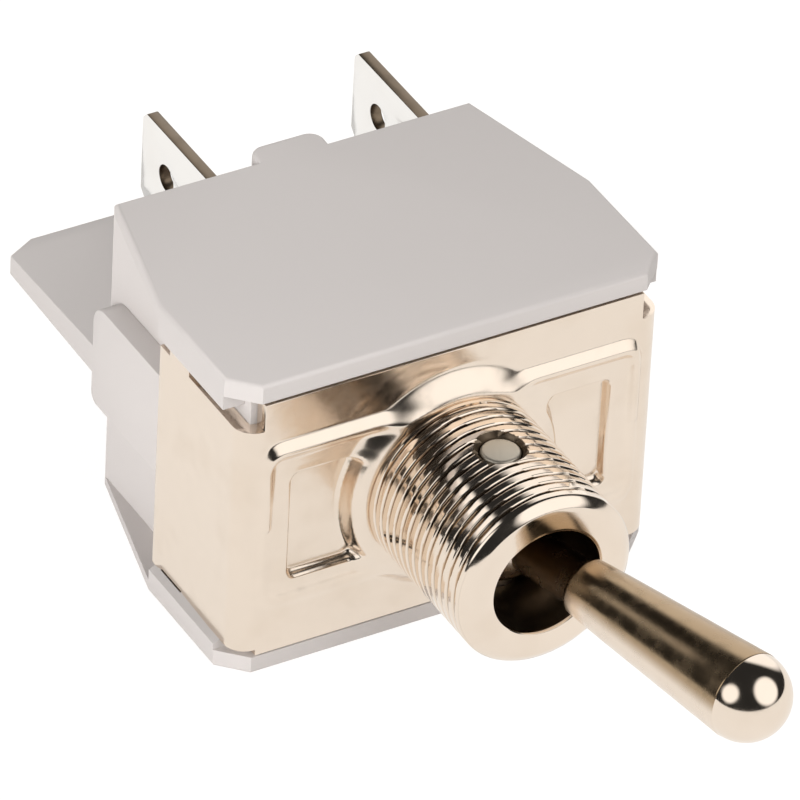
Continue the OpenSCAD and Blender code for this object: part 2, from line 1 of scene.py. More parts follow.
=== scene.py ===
"""Dressed model of a panel toggle switch with two stacked poles.

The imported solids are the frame. The pieces that are seen are modelled again with their pressed,
turned and moulded detail, and the hidden ones keep their solids and get a finish.
Lengths are in metres; MM turns millimetres into metres.
"""
import json
import logging
import math
from dataclasses import dataclass
from enum import Enum
from typing import Callable

import bmesh
import bpy
from mathutils import Matrix, Vector


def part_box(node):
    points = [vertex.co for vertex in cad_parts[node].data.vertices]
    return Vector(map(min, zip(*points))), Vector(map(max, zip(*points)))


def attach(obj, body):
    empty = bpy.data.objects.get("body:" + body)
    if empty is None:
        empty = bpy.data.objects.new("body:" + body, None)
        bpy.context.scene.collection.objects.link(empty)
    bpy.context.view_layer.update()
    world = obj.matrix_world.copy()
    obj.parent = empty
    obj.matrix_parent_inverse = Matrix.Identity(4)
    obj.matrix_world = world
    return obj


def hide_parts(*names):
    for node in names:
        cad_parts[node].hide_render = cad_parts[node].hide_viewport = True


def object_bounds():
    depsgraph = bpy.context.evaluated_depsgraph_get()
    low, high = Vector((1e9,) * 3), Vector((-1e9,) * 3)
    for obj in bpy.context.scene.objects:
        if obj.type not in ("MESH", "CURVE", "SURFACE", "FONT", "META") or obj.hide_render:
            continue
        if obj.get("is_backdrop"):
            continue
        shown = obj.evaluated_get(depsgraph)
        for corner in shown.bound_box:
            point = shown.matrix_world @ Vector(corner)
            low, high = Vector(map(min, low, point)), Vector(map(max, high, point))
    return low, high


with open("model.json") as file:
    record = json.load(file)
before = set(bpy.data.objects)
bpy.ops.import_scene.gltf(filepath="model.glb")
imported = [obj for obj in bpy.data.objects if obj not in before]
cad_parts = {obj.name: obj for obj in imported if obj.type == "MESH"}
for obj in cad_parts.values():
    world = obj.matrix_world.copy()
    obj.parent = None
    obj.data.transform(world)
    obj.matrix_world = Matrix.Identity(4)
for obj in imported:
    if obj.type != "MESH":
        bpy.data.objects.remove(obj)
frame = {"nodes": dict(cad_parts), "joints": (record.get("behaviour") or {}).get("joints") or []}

MM = 0.001
log = logging.getLogger("toggle_switch")


class Body(Enum):
    """The rigid bodies that pieces ride on."""

    CASE = "case"
    LEVER = "lever_unit"


Triple = tuple[float, float, float]
Colour = Triple
Profile = list[tuple[float, float]]


# ---------------------------------------------------------------- small tools


def smooth_step(low: float, high: float, value: float) -> float:
    """Eases from 0 at low to 1 at high.

    Args:
        low: value at which the result is 0.
        high: value at which the result is 1.
        value: where to read it.

    Returns:
        A number from 0 to 1.
    """
    t = min(1.0, max(0.0, (value - low) / (high - low)))
    return t * t * (3 - 2 * t)


def spread(start: float, end: float, step: float) -> list[float]:
    """Even stations from start to end.

    Args:
        start: first station.
        end: last station.
        step: largest distance between two stations.

    Returns:
        The stations, both ends included.
    """
    count = max(1, math.ceil(abs(end - start) / step - 1e-6))
    return [start + (end - start) * i / count for i in range(count + 1)]


def chain(*runs: list[float]) -> list[float]:
    """Joins runs of stations that share their end stations."""
    joined = list(runs[0])
    for run in runs[1:]:
        joined += run[1:]
    return joined


def deselect_all() -> None:
    """Leaves nothing selected, in object mode."""
    if bpy.context.object and bpy.context.object.mode != "OBJECT":
        bpy.ops.object.mode_set(mode="OBJECT")
    bpy.ops.object.select_all(action="DESELECT")


def activate(piece: bpy.types.Object) -> None:
    """Makes a piece the only selected and the active object."""
    deselect_all()
    piece.select_set(True)
    bpy.context.view_layer.objects.active = piece


def edit_mesh(piece: bpy.types.Object, change: Callable[[bmesh.types.BMesh], None]) -> None:
    """Runs a change on a piece's mesh.

    Args:
        piece: the object whose mesh changes.
        change: gets the mesh as a BMesh and changes it.
    """
    mesh = bmesh.new()
    mesh.from_mesh(piece.data)
    change(mesh)
    mesh.to_mesh(piece.data)
    mesh.free()
    piece.data.update()


def modify(piece: bpy.types.Object, kind: str, **settings: object) -> None:
    """Adds a modifier to a piece and applies it.

    Args:
        piece: the object to change.
        kind: the modifier's type, such as BEVEL.
        settings: the modifier's values.
    """
    activate(piece)
    modifier = piece.modifiers.new(kind.lower(), kind)
    for name, value in settings.items():
        setattr(modifier, name, value)
    bpy.ops.object.modifier_apply(modifier=modifier.name)


def smooth(piece: bpy.types.Object, angle: float = 35) -> None:
    """Shades a piece smooth, with edges sharper than the angle in degrees kept crisp."""
    activate(piece)
    bpy.ops.object.shade_smooth_by_angle(angle=math.radians(angle))


def grid_piece(
    name: str,
    columns: list[float],
    rows: list[float],
    place: Callable[[float, float], Vector],
    keep: Callable[[float, float], bool] = lambda u, v: True,
) -> bpy.types.Object:
    """Lays a grid over a surface.

    Args:
        name: the piece's name.
        columns: stations along the first direction.
        rows: stations along the second direction.
        place: gives the point of the surface at two stations.
        keep: tells whether the face round a pair of stations stays.

    Returns:
        The new object. Its faces look along first direction x second direction.
    """
    deselect_all()
    last_column = len(columns) - 1
    last_row = len(rows) - 1
    bpy.ops.mesh.primitive_grid_add(x_subdivisions=last_column, y_subdivisions=last_row, size=2)
    piece = bpy.context.object
    piece.name = name
    piece.data.name = name

    def shape(mesh: bmesh.types.BMesh) -> None:
        """Drops the faces that go and lays the rest on the surface."""
        station = {}
        for vertex in mesh.verts:
            i = round((vertex.co.x + 1) / 2 * last_column)
            j = round((vertex.co.y + 1) / 2 * last_row)
            station[vertex] = (columns[i], rows[j])
        gone = []
        for face in mesh.faces:
            u = sum(station[v][0] for v in face.verts) / len(face.verts)
            v = sum(station[v][1] for v in face.verts) / len(face.verts)
            if not keep(u, v):
                gone.append(face)
        for vertex, (u, v) in station.items():
            vertex.co = place(u, v)
        bmesh.ops.delete(mesh, geom=gone, context="FACES")

    edit_mesh(piece, shape)
    return piece


def close_seams(piece: bpy.types.Object, distance: float = 0.002 * MM) -> None:
    """Merges the points that lie on each other and turns all faces outwards."""

    def merge(mesh: bmesh.types.BMesh) -> None:
        """Removes doubles and recalculates normals."""
        bmesh.ops.remove_doubles(mesh, verts=mesh.verts, dist=distance)
        bmesh.ops.recalc_face_normals(mesh, faces=mesh.faces)

    edit_mesh(piece, merge)


def turned_piece(
    name: str, profile: Profile, sides: int, point: Callable[[float, float, float], Vector]
) -> bpy.types.Object:
    """Turns a profile into a closed piece.

    Args:
        name: the piece's name.
        profile: radius and reach of each ring of points.
        sides: number of faces round the piece.
        point: gives the surface's point at a radius, a reach and an angle.

    Returns:
        The new object.
    """

    def place(angle: float, station: float) -> Vector:
        """Point of the surface at an angle and a profile station."""
        radius, reach = profile[round(station)]
        return point(radius, reach, angle)

    turns = [math.tau * i / sides for i in range(sides + 1)]
    stations = [float(i) for i in range(len(profile))]
    piece = grid_piece(name, turns, stations, place)
    close_seams(piece)
    return piece


def pin_axis() -> float:
    """Place of the pivot pin's axis along the bushing."""
    low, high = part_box("pivot_pin")
    return (low.y + high.y) / 2


def copy_of_node(node: str, name: str) -> bpy.types.Object:
    """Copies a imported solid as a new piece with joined, flat faces.

    Args:
        node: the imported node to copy.
        name: the new piece's name.

    Returns:
        The new object.
    """
    source = frame["nodes"][node]
    piece = bpy.data.objects.new(name, source.data.copy())
    piece.data.name = name
    piece.data.materials.clear()
    bpy.context.scene.collection.objects.link(piece)
    if piece.data.has_custom_normals:
        activate(piece)
        bpy.ops.mesh.customdata_custom_splitnormals_clear()

    def join_faces(mesh: bmesh.types.BMesh) -> None:
        """Merges the loose triangles and dissolves the lines inside flat faces."""
        bmesh.ops.remove_doubles(mesh, verts=mesh.verts, dist=0.0005 * MM)
        bmesh.ops.dissolve_limit(
            mesh,
            angle_limit=math.radians(0.5),
            verts=mesh.verts,
            edges=mesh.edges,
            delimit={"NORMAL"},
        )

    edit_mesh(piece, join_faces)
    return piece


def soften(
    piece: bpy.types.Object,
    width: float,
    chosen: Callable[[Vector], bool] = lambda middle: True,
    segments: int = 3,
    sharp: float = 30,
) -> None:
    """Rounds a piece's sharp edges.

    Args:
        piece: the object to change.
        width: the width of the rounding.
        chosen: tells by an edge's middle point whether it is rounded.
        segments: faces across the rounding.
        sharp: least angle in degrees between two faces at a sharp edge.
    """

    def round_edges(mesh: bmesh.types.BMesh) -> None:
        """Bevels the chosen sharp edges."""
        edges = []
        for edge in mesh.edges:
            if len(edge.link_faces) != 2 or edge.calc_face_angle() < math.radians(sharp):
                continue
            middle = (edge.verts[0].co + edge.verts[1].co) / 2
            if chosen(middle):
                edges.append(edge)
        bmesh.ops.bevel(
            mesh,
            geom=edges,
            offset=width,
            offset_type="OFFSET",
            segments=segments,
            profile=0.5,
            affect="EDGES",
            clamp_overlap=True,
        )

    edit_mesh(piece, round_edges)


# ---------------------------------------------------------------- finishes


class Nodes:
    """A node tree, with short calls to build it."""

    def __init__(self, tree: bpy.types.NodeTree) -> None:
        """Takes the tree that the calls add to."""
        self.tree = tree

    def node(self, kind: str, **values: object) -> bpy.types.Node:
        """Adds a node and sets its properties."""
        made = self.tree.nodes.new(kind)
        for name, value in values.items():
            setattr(made, name, value)
        return made

    def join(self, source: bpy.types.NodeSocket, target: bpy.types.NodeSocket) -> None:
        """Links two sockets."""
        self.tree.links.new(source, target)

    def remap(
        self, value: bpy.types.NodeSocket, low: float, high: float, start: float, end: float
    ) -> bpy.types.NodeSocket:
        """Stretches a value's range, eased and clamped.

        Args:
            value: the value to stretch.
            low: value that becomes start.
            high: value that becomes end.
            start: result at low.
            end: result at high.

        Returns:
            The stretched value.
        """
        made = self.node("ShaderNodeMapRange", interpolation_type="SMOOTHSTEP")
        self.join(value, made.inputs["Value"])
        limits = {"From Min": low, "From Max": high, "To Min": start, "To Max": end}
        for name, number in limits.items():
            made.inputs[name].default_value = number
        return made.outputs["Result"]

    def calculate(
        self, operation: str, first: bpy.types.NodeSocket, second: bpy.types.NodeSocket | float
    ) -> bpy.types.NodeSocket:
        """Does one step of arithmetic on two values.

        Args:
            operation: what to do, such as MULTIPLY.
            first: the first value.
            second: the second value, or a number.

        Returns:
            The result.
        """
        made = self.node("ShaderNodeMath", operation=operation)
        self.join(first, made.inputs[0])
        if isinstance(second, bpy.types.NodeSocket):
            self.join(second, made.inputs[1])
        else:
            made.inputs[1].default_value = second
        return made.outputs[0]

    def mix_shaders(
        self, share: bpy.types.NodeSocket, first: bpy.types.NodeSocket, second: bpy.types.NodeSocket
    ) -> bpy.types.NodeSocket:
        """Mixes two shaders: all first where the share is 0, all second where it is 1."""
        made = self.node("ShaderNodeMixShader")
        for socket, target in zip((share, first, second), made.inputs):
            self.join(socket, target)
        return made.outputs["Shader"]


class Shader(Nodes):
    """One material's node tree round a Principled shader."""

    def __init__(self, name: str) -> None:
        """Starts an empty material."""
        self.material = bpy.data.materials.new(name)
        self.material.use_nodes = True
        super().__init__(self.material.node_tree)
        self.surface = self.tree.nodes["Principled BSDF"]
        self.output = self.tree.nodes["Material Output"]
        self.place = self.node("ShaderNodeTexCoord").outputs["Object"]

    def noise(self, per_metre: float, detail: float) -> bpy.types.NodeSocket:
        """A noise pattern.

        Args:
            per_metre: how fine it is.
            detail: how many finer layers it has.

        Returns:
            The pattern's value, about 0.5 on average.
        """
        made = self.node("ShaderNodeTexNoise")
        made.inputs["Scale"].default_value = per_metre
        made.inputs["Detail"].default_value = detail
        self.join(self.place, made.inputs["Vector"])
        return made.outputs["Fac"]

    def blend(
        self, share: bpy.types.NodeSocket, first: Colour, second: Colour
    ) -> bpy.types.NodeSocket:
        """Mixes two colours: all first where the share is 0, all second where it is 1."""
        made = self.node("ShaderNodeMix", data_type="RGBA")
        self.join(share, made.inputs["Factor"])
        made.inputs["A"].default_value = (*first, 1)
        made.inputs["B"].default_value = (*second, 1)
        return made.outputs["Result"]

    def bump(self, height: bpy.types.NodeSocket, distance: float, strength: float) -> None:
        """Gives the surface a relief."""
        made = self.node("ShaderNodeBump")
        made.inputs["Strength"].default_value = strength
        made.inputs["Distance"].default_value = distance
        self.join(height, made.inputs["Height"])
        self.join(made.outputs["Normal"], self.surface.inputs["Normal"])


@dataclass(frozen=True)
class Finish:
    """What covers a piece; each kind builds its own material once."""

    name: str

    def material(self) -> bpy.types.Material:
        """Returns the material, built the first time."""
        made = bpy.data.materials.get(self.name)
        if made is None:
            shader = Shader(self.name)
            self.paint(shader)
            made = shader.material
        return made

    def paint(self, shader: Shader) -> None:
        """Builds the material's nodes."""
        raise NotImplementedError


@dataclass(frozen=True)
class Plating(Finish):
    """Bright plated metal with faint handling marks."""

    colour: Colour = (0.88, 0.765, 0.65)
    stain: Colour = (0.78, 0.65, 0.52)
    roughness: float = 0.14
    spread: float = 0.10
    stain_share: float = 0.35
    stains_per_metre: float = 260
    scuffs_per_metre: float = 900
    ripples_per_metre: float = 1400
    ripple: float = 0.006 * MM
    ripple_strength: float = 0.25

    def paint(self, shader: Shader) -> None:
        """Metal whose tint and gloss vary a little over the surface."""
        surface = shader.surface
        surface.inputs["Metallic"].default_value = 1
        stains = shader.noise(self.stains_per_metre, 4)
        cloud = shader.remap(stains, 0.45, 0.75, 0, self.stain_share)
        shader.join(shader.blend(cloud, self.colour, self.stain), surface.inputs["Base Color"])
        scuffs = shader.noise(self.scuffs_per_metre, 5)
        rough = shader.remap(scuffs, 0.35, 0.75, self.roughness, self.roughness + self.spread)
        shader.join(rough, surface.inputs["Roughness"])
        shader.bump(shader.noise(self.ripples_per_metre, 3), self.ripple, self.ripple_strength)


@dataclass(frozen=True)
class PaintedDarkNickel(Plating):
    """Nickel darkened by a painted tint: not yet where its measure is `start`, fully where it is
    `full`.
    """

    painted_dark: Colour = (0.50, 0.42, 0.31)
    start: float = -0.1 * MM
    full: float = 0.9 * MM

    def measure(self, shader: Shader) -> bpy.types.NodeSocket:
        """Height above the axis, for a painted brown reflection on the upper side."""
        parts = shader.node("ShaderNodeSeparateXYZ")
        shader.join(shader.place, parts.inputs[0])
        return parts.outputs["Z"]

    def paint(self, shader: Shader) -> None:
        """Plating multiplied by the painted dark tint."""
        super().paint(shader)
        base = shader.surface.inputs["Base Color"]
        plain = base.links[0].from_socket
        # Painted shade and dark reflection: the colour darkens towards the tint where the measure
        # says.
        share = shader.remap(self.measure(shader), self.start, self.full, 0, 1)
        tint = shader.blend(share, (1, 1, 1), self.painted_dark)
        product = shader.node("ShaderNodeMix", data_type="RGBA", blend_type="MULTIPLY")
        product.inputs["Factor"].default_value = 1
        shader.join(plain, product.inputs["A"])
        shader.join(tint, product.inputs["B"])
        shader.join(product.outputs["Result"], base)


@dataclass(frozen=True)
class ThreadNickel(PaintedDarkNickel):
    """Turned nickel with painted shade in the thread's grooves."""

    def measure(self, shader: Shader) -> bpy.types.NodeSocket:
        """Distance from the bushing's axis."""
        flat = shader.node("ShaderNodeVectorMath", operation="MULTIPLY")
        flat.inputs[1].default_value = (1, 0, 1)
        shader.join(shader.place, flat.inputs[0])
        length = shader.node("ShaderNodeVectorMath", operation="LENGTH")
        shader.join(flat.outputs["Vector"], length.inputs[0])
        return length.outputs["Value"]


@dataclass(frozen=True)
class Moulding(Finish):
    """Moulded plastic with a fine matte grain."""

    colour: Colour = (0.66, 0.635, 0.625)
    shade: Colour = (0.63, 0.60, 0.59)
    roughness: float = 0.5
    smoother: float = 0.06
    rougher: float = 0.08
    specular: float = 0.4
    clouds_per_metre: float = 120
    patches_per_metre: float = 700
    grain_per_metre: float = 3200
    grain: float = 0.012 * MM
    grain_strength: float = 0.25

    def paint(self, shader: Shader) -> None:
        """Plastic with faint flow clouds and a fine grain."""
        surface = shader.surface
        clouds = shader.noise(self.clouds_per_metre, 3)
        cloud = shader.remap(clouds, 0.4, 0.7, 0, 1)
        shader.join(shader.blend(cloud, self.colour, self.shade), surface.inputs["Base Color"])
        patches = shader.noise(self.patches_per_metre, 3)
        low = self.roughness - self.smoother
        high = self.roughness + self.rougher
        rough = shader.remap(patches, 0.3, 0.7, low, high)
        shader.join(rough, surface.inputs["Roughness"])
        surface.inputs["Specular IOR Level"].default_value = self.specular
        shader.bump(shader.noise(self.grain_per_metre, 2), self.grain, self.grain_strength)


NICKEL_SHEET = Plating("nickel_sheet")
NICKEL_TURNED = Plating("nickel_turned", roughness=0.08, spread=0.07, stain_share=0.25)
# Painted reflection: the lever's upper side is darkened to a brown tint.
NICKEL_LEVER = PaintedDarkNickel("nickel_lever", roughness=0.2, spread=0.12, stain_share=0.4)
# Painted shade: the thread darkens towards the bottom of its grooves.
NICKEL_THREAD = ThreadNickel(
    "nickel_thread",
    roughness=0.08,
    spread=0.07,
    stain_share=0.25,
    painted_dark=(0.36, 0.28, 0.19),
    start=5.9 * MM,
    full=5.72 * MM,
)
# Painted shade: the bore's inside and the pin hole's walls are coloured dark brown.
BORE_PAINTED_SHADE = Plating(
    "bore_painted_shade", colour=(0.20, 0.155, 0.11), stain=(0.08, 0.06, 0.04), roughness=0.35
)
PIN_STEEL = Plating("pin_steel", colour=(0.84, 0.76, 0.56), roughness=0.22)
TINNED = Plating(
    "tinned_brass", colour=(0.97, 0.95, 0.92), stain=(0.90, 0.87, 0.83), roughness=0.12
)
# Painted reflection: the blades' cut edges are coloured dark brown.
EDGE_DARK_REFLECTION = Plating("edge_dark_reflection", colour=(0.22, 0.17, 0.12), stain=(0.10, 0.07, 0.05), roughness=0.3)
COPPER = Plating(
    "copper_alloy", colour=(0.80, 0.50, 0.30), stain=(0.62, 0.36, 0.20), roughness=0.25
)
SILVER = Plating("silver_face", colour=(0.90, 0.89, 0.86), stain=(0.72, 0.70, 0.66), roughness=0.25)
WIRE = Plating("spring_wire", colour=(0.60, 0.59, 0.57), stain=(0.45, 0.44, 0.42), roughness=0.25)
GREY_PLASTIC = Moulding("grey_plastic")
BLACK_PLASTIC = Moulding("black_plastic", colour=(0.03, 0.03, 0.032), shade=(0.022, 0.022, 0.024))
PALE_PLASTIC = Moulding("pale_plastic", colour=(0.80, 0.77, 0.68), shade=(0.74, 0.71, 0.62))


def settle(piece: bpy.types.Object, body: Body, slot: str, finish: Finish, *nodes: str) -> None:
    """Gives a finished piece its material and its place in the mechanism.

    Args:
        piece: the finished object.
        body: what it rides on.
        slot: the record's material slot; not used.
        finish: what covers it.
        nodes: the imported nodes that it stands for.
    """
    piece.data.materials.clear()
    piece.data.materials.append(finish.material())
    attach(piece, body.value)
    if nodes:
        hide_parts(*nodes)
    log.info("%s: %d faces", piece.name, len(piece.data.polygons))


# ---------------------------------------------------------------- mounting frame


@dataclass(frozen=True)
class MountingFrame:
    """The bent sheet with its pressed boss, ribs and sunk pads."""

    sheet: float = 1.0 * MM
    bend: float = 1.4 * MM
    gap: float = 0.13 * MM
    wing_drop: float = 2.05 * MM
    wing_rise: float = 0.55 * MM
    notch: float = 0.05 * MM
    boss_height: float = 1.0 * MM
    boss_top: float = 6.2 * MM
    boss_foot: float = 8.15 * MM
    rib_offset: float = 5.62 * MM
    rib_half: float = 0.85 * MM
    rib_height: float = 0.5 * MM
    low_rib_height: float = 0.2 * MM
    rib_reach: float = 12.8 * MM
    rib_fade_start: float = 0.3 * MM
    rib_fade_end: float = 0.45 * MM
    rim_share: float = 0.45
    rim_reach: float = 12.95 * MM
    rim_corner: float = 1.3 * MM
    rim_height: float = 0.045 * MM
    pad_depth: float = 0.6 * MM
    pad_top: float = 3.55 * MM
    pad_foot: float = -4.15 * MM
    pad_reach: float = 10.95 * MM
    pad_inner: float = 7.25 * MM
    pad_corner: float = 0.45 * MM
    pad_wall: float = 0.15 * MM
    pad_inner_slope: float = 0.5
    lip_height: float = 0.03 * MM
    lip_width: float = 0.5 * MM
    hole: float = 5.0 * MM
    hook_length: float = 2.4 * MM
    hook_top: float = 0.3 * MM
    step: float = 0.11 * MM
    flat_step: float = 0.44 * MM
    eased: float = 0.13 * MM

    def relief(self, x: float, z: float) -> float:
        """Height of the pressed face in front of the plain sheet.

        Args:
            x: place across the face.
            z: height of the place.

        Returns:
            The height, below 0 in the sunk pads.
        """
        radius = math.hypot(x, z)
        boss = self.boss_height * (1 - smooth_step(self.boss_top, self.boss_foot, radius))
        corner = self.rim_corner
        right = abs(x) - (self.rim_reach - corner)
        above = abs(z) - (self.rib_offset - corner)
        border = math.hypot(max(right, 0.0), max(above, 0.0)) + min(max(right, above), 0.0) - corner
        fade_start = self.rib_reach - self.rib_fade_start
        share = 1 - smooth_step(fade_start, self.rib_reach + self.rib_fade_end, abs(x))
        full = self.rib_height if z > 0 else self.low_rib_height
        height = self.rim_height + (full - self.rim_height) * share
        width = self.rib_half * (self.rim_share + (1 - self.rim_share) * share)
        rib = height * (1 - smooth_step(0.0, 1.0, abs(border) / width))
        lift = min(math.hypot(boss, rib), self.boss_height)
        corner = self.pad_corner
        middle = (self.pad_top + self.pad_foot) / 2
        tall = (self.pad_top - self.pad_foot) / 2
        inner = self.pad_inner_slope * (self.pad_inner - radius)
        sides = (abs(z - middle) - tall, abs(x) - self.pad_reach, inner)
        outside = math.sqrt(sum(max(0.0, side + corner) ** 2 for side in sides)) - corner
        sunk = 1 - smooth_step(-self.pad_wall, self.pad_wall, outside)
        lip = self.lip_height * (1 - smooth_step(0.0, self.lip_width, abs(outside - self.pad_wall)))
        return (lift + lip) * (1 - sunk) - self.pad_depth * sunk

    def build(self) -> None:
        """Lays the flat pattern, bends it, gives it its thickness and eases its edges."""
        low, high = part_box("mounting_frame")
        half = high.x
        top = high.z - self.gap
        wing = high.z - self.wing_drop
        wing_foot = low.z + self.wing_rise
        face = low.y + self.boss_height
        flat = half - self.bend
        arc = self.bend * math.pi / 2
        leg = high.y - face - self.bend
        end = flat + arc + leg
        edge = flat - self.notch
        hook_low = end - self.hook_length - self.hook_length / 2
        hook_high = end - self.hook_length / 2
        hook_top = top - self.hook_top

        def place(s: float, z: float) -> Vector:
            """Point of the outer surface at a distance along the strip and a height."""
            side = math.copysign(1, s)
            run = abs(s)
            if run <= flat:
                return Vector((s, face - self.relief(s, z), z))
            if run < flat + arc:
                turn = (run - flat) / self.bend
                across = flat + self.bend * math.sin(turn)
                return Vector((side * across, face + self.bend * (1 - math.cos(turn)), z))
            return Vector((side * half, face + self.bend + run - flat - arc, z))

        def keep(s: float, z: float) -> bool:
            """Leaves out the corner notches, the space above the wings and the bushing's hole."""
            if math.hypot(s, z) < self.hole:
                return False
            if abs(s) < edge or wing_foot < z < wing:
                return True
            return hook_low < abs(s) < hook_high and 0 < z < hook_top

        half_columns = chain(
            spread(0, edge, self.step),
            spread(edge, flat + arc, self.step),
            spread(flat + arc, hook_low, self.flat_step),
            spread(hook_low, hook_high, self.flat_step),
            spread(hook_high, end, self.flat_step),
        )
        columns = [-s for s in reversed(half_columns)] + half_columns[1:]
        rows = chain(
            spread(-top, wing_foot, self.step),
            spread(wing_foot, wing, self.step),
            spread(wing, hook_top, self.step),
            spread(hook_top, top, self.step),
        )
        piece = grid_piece("frame_plate", columns, rows, place, keep)
        modify(piece, "SOLIDIFY", thickness=self.sheet * 0.98, offset=-1)
        right_angles = {"limit_method": "ANGLE", "angle_limit": math.radians(70)}
        modify(piece, "BEVEL", width=self.eased, segments=2, **right_angles)
        smooth(piece, 60)
        settle(piece, Body.CASE, "plated_sheet", NICKEL_SHEET, "mounting_frame")


# ---------------------------------------------------------------- bushing


@dataclass(frozen=True)
class Bushing:
    """The turned bushing with its thread, plain front ring and rounded mouth."""

    pitch: float = 0.794 * MM
    thread_depth: float = 0.3 * MM
    lead: float = 0.06 * MM
    bore: float = 3.6 * MM
    chamfer: float = 0.6 * MM
    spigot: float = 5.0 * MM
    flare: float = 5.5 * MM
    sheet: float = 1.03 * MM
    thread_end: float = -0.12 * MM
    ease: float = 0.12 * MM
    crest_share: float = 0.56
    groove_share: float = 0.98
    sides: int = 180
    rows_per_turn: int = 14
    pin_hole: float = 1.34 * MM
    pin_mouth: float = 1.68 * MM
    mouth_depth: float = 0.1 * MM
    hole_depth: float = 0.42 * MM
    hole_sides: int = 48
    bore_start: float = 0.3 * MM
    face_depth: float = 0.5 * MM

    def groove(self, y: float, angle: float, first: float) -> float:
        """Depth of the thread below the crest.

        Args:
            y: place along the bushing.
            angle: place round it.
            first: where the thread starts at the front.

        Returns:
            The depth, 0 on the crest.
        """
        phase = (y / self.pitch + angle / math.tau) % 1
        wave = abs(2 * phase - 1)
        depth = smooth_step(self.crest_share, self.groove_share, wave)
        begun = smooth_step(first, first + 0.3 * self.pitch, y)
        ended = smooth_step(self.thread_end - 0.1 * MM, self.thread_end, y)
        return self.thread_depth * depth * begun * (1 - ended)

    def outline(self, radius: float, front: float, back: float) -> Profile:
        """Radius and place of each ring of points, from the bore round the front to the back.

        Args:
            radius: radius over the thread's crest.
            front: place of the front face.
            back: place of the spigot's end.

        Returns:
            The closed profile.
        """
        ease = self.ease
        chamfered = radius - self.chamfer
        rings = [
            (self.bore, back),
            (self.bore, front / 2),
            (self.bore, front + 2 * ease),
            (self.bore + 0.3 * ease, front + 0.8 * ease),
            (self.bore + ease, front + 0.2 * ease),
            (self.bore + 2.4 * ease, front),
            (chamfered - 3 * ease, front + 0.1 * ease),
            (chamfered - ease, front + 0.35 * ease),
            (chamfered, front + 0.7 * ease),
            (radius - 0.1 * MM, front + self.chamfer - 0.14 * MM),
            (radius, front + self.chamfer),
        ]
        first = front + self.chamfer + self.lead
        fine = self.pitch / self.rows_per_turn
        rings += [(radius, y) for y in spread(first, self.thread_end, fine)]
        rings += [
            (radius - 0.02 * MM, self.thread_end + 0.12 * MM),
            (radius - 0.1 * MM, 0),
            (self.spigot, 0),
            (self.spigot, self.sheet),
            (self.flare, self.sheet),
            (self.flare, back),
            (self.bore, back),
        ]
        return rings

    def build(self) -> None:
        """Turns the profile round the bushing's axis and drills the pin's hole."""
        low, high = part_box("bushing")
        radius = high.x
        front = low.y
        first = front + self.chamfer + self.lead

        def point(reach_out: float, y: float, angle: float) -> Vector:
            """Point of the surface, with the thread where it runs."""
            r = reach_out
            if first <= y <= self.thread_end and r == radius:
                r -= self.groove(y, angle, first)
            return Vector((r * math.cos(angle), y, r * math.sin(angle)))

        piece = turned_piece("bushing_body", self.outline(radius, front, high.y), self.sides, point)
        self.drill(piece, radius)
        smooth(piece, 50)
        settle(piece, Body.CASE, "plated_turned", NICKEL_THREAD, "bushing")
        piece.data.materials.append(BORE_PAINTED_SHADE.material())
        piece.data.materials.append(NICKEL_TURNED.material())
        pin = pin_axis()
        # Painted shade on the bore's inside and on the pin hole's walls.
        for face in piece.data.polygons:
            x, y, z = face.center
            in_bore = math.hypot(x, z) < self.bore + 0.02 * MM and y > front + self.bore_start
            in_hole = math.hypot(x, y - pin) < self.pin_mouth - 0.01 * MM
            if in_bore or in_hole:
                face.material_index = 1
            elif y < front + self.face_depth:
                face.material_index = 2

    def drill(self, piece: bpy.types.Object, radius: float) -> None:
        """Cuts the pivot pin's hole, wider at the thread's crest.

        Args:
            piece: the bushing.
            radius: the bushing's radius over the crest.
        """
        middle = pin_axis()
        upper = [
            (0.0, 2 * radius),
            (self.pin_mouth, 2 * radius),
            (self.pin_mouth, radius - self.mouth_depth),
            (self.pin_hole, radius - self.hole_depth),
        ]
        profile = upper + [(r, -z) for r, z in reversed(upper)]

        def point(r: float, z: float, angle: float) -> Vector:
            """Point of the cutter."""
            return Vector((r * math.cos(angle), middle + r * math.sin(angle), z))

        cutter = turned_piece("pin_drill", profile, self.hole_sides, point)
        modify(piece, "BOOLEAN", operation="DIFFERENCE", object=cutter, solver="EXACT")
        bpy.data.objects.remove(cutter)


@dataclass(frozen=True)
class PivotPin:
    """The pivot pin with rounded ends that lie a little below the thread's crest."""

    sunk: float = 0.12 * MM
    round_end: float = 0.22 * MM
    crown: float = 0.02 * MM
    end_steps: int = 5
    sides: int = 64

    def build(self) -> None:
        """Turns the pin round its own axis."""
        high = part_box("pivot_pin")[1]
        middle = pin_axis()
        radius = high.x
        reach = high.z - self.sunk
        inner = radius - self.round_end
        shoulder = reach - self.round_end
        half = [(radius, 0.0)]
        for i in range(self.end_steps + 1):
            turn = math.pi / 2 * i / self.end_steps
            edge = inner + self.round_end * math.cos(turn)
            half.append((edge, shoulder + self.round_end * math.sin(turn)))
        half.append((0.0, reach + self.crown))
        profile = [(r, -z) for r, z in reversed(half[1:])] + half

        def point(r: float, z: float, angle: float) -> Vector:
            """Point of the pin."""
            return Vector((r * math.cos(angle), middle + r * math.sin(angle), z))

        piece = turned_piece("pin_body", profile, self.sides, point)
        smooth(piece, 35)
        settle(piece, Body.CASE, "pin_steel", PIN_STEEL, "pivot_pin")


# ---------------------------------------------------------------- lever


